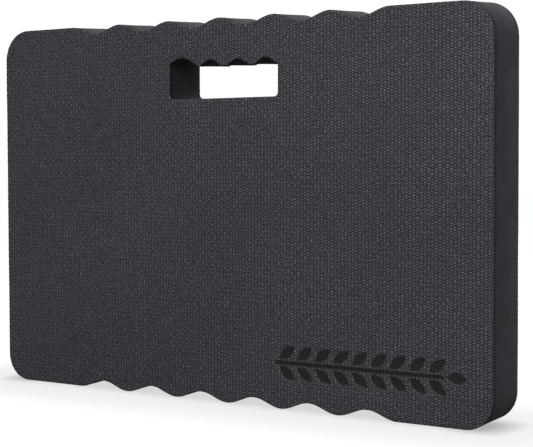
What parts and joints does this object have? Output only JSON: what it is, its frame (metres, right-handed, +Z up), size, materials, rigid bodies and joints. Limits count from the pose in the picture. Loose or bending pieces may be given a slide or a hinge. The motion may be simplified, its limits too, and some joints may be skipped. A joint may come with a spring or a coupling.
{
  "type": "kneeling pad",
  "caption": "Thick rectangular foam kneeling pad with rounded corners, wavy long edges, a hand slot with finger waves and embossed faces.",
  "frame": {"origin": "middle of the bottom of the bounding box, under the middle of the long edge that the pad stands on", "axes": "+X along the pad's length, +Y through its thickness from the marked front face to the rear face, +Z up across its width"},
  "size_m": [0.4318, 0.0382, 0.2794],
  "materials": {
    "embossed_foam": "charcoal closed-cell foam, hot-embossed with a fine woven dot pattern, satin",
    "core_foam": "charcoal closed-cell foam, die-cut, matt and fine-grained",
    "adhesive": "dark dried contact adhesive"
  },
  "bodies": {
    "root": {"front_skin": "embossed_foam", "front_glue_film": "adhesive", "front_core_slab": "core_foam", "middle_glue_film": "adhesive", "rear_core_slab": "core_foam", "rear_glue_film": "adhesive", "rear_skin": "embossed_foam"}
  },
  "joints": []
}
